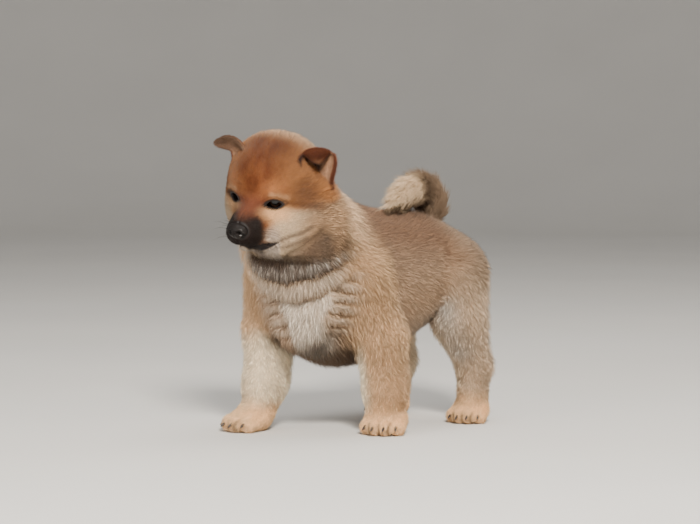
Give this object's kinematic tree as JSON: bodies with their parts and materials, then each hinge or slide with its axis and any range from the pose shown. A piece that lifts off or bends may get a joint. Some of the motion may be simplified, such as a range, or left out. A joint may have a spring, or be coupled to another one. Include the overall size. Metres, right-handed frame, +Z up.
{
  "type": "shiba inu puppy",
  "caption": "Still life-size shiba inu puppy, standing with one foreleg a step ahead, head turned to its left, ears folded over and tail curled on its back.",
  "frame": {"origin": "on the floor, under the middle of the whole model's box", "axes": "+Z up; the puppy faces -Y, so its length runs along Y; its left side is +X"},
  "size_m": [0.1638, 0.3068, 0.2763],
  "materials": {
    "coat_sable": "dense plush puppy fur, sable over pale underfur, matt",
    "coat_tan": "dense plush fur, tan, matt",
    "coat_rust": "short dense fur, red-brown on the head with cream cheeks, matt",
    "coat_cream": "short dense fur, cream, matt",
    "ear_fur": "short velvety fur, dark red-brown, matt",
    "nose_leather": "black pebbled skin, moist sheen",
    "eye": "very dark brown, wet gloss",
    "claw": "dark horn, satin"
  },
  "bodies": {
    "root": {"eye_left": "eye", "eye_right": "eye", "head": "coat_rust", "lower_jaw": "coat_cream", "nose_leather": "nose_leather", "ear_left": "ear_fur", "ear_right": "ear_fur", "neck": "coat_tan", "chest": "coat_sable", "loin": "coat_sable", "rump": "coat_sable", "fore_left_upper_arm": "coat_tan", "fore_left_forearm": "coat_tan", "fore_left_paw": "coat_cream", "fore_right_upper_arm": "coat_tan", "fore_right_forearm": "coat_tan", "fore_right_paw": "coat_cream", "hind_left_thigh": "coat_tan", "hind_left_shank": "coat_tan", "hind_left_hock": "coat_tan", "hind_left_paw": "coat_cream", "hind_right_thigh": "coat_tan", "hind_right_shank": "coat_tan", "hind_right_hock": "coat_tan", "hind_right_paw": "coat_cream", "tail_base": "coat_sable", "tail_curl": "coat_sable", "tail_tip": "coat_sable", "fore_left_claw_1": "claw", "fore_left_claw_2": "claw", "fore_left_claw_3": "claw", "fore_left_claw_4": "claw", "fore_right_claw_1": "claw", "fore_right_claw_2": "claw", "fore_right_claw_3": "claw", "fore_right_claw_4": "claw", "hind_left_claw_1": "claw", "hind_left_claw_2": "claw", "hind_left_claw_3": "claw", "hind_left_claw_4": "claw", "hind_right_claw_1": "claw", "hind_right_claw_2": "claw", "hind_right_claw_3": "claw", "hind_right_claw_4": "claw"}
  },
  "joints": []
}
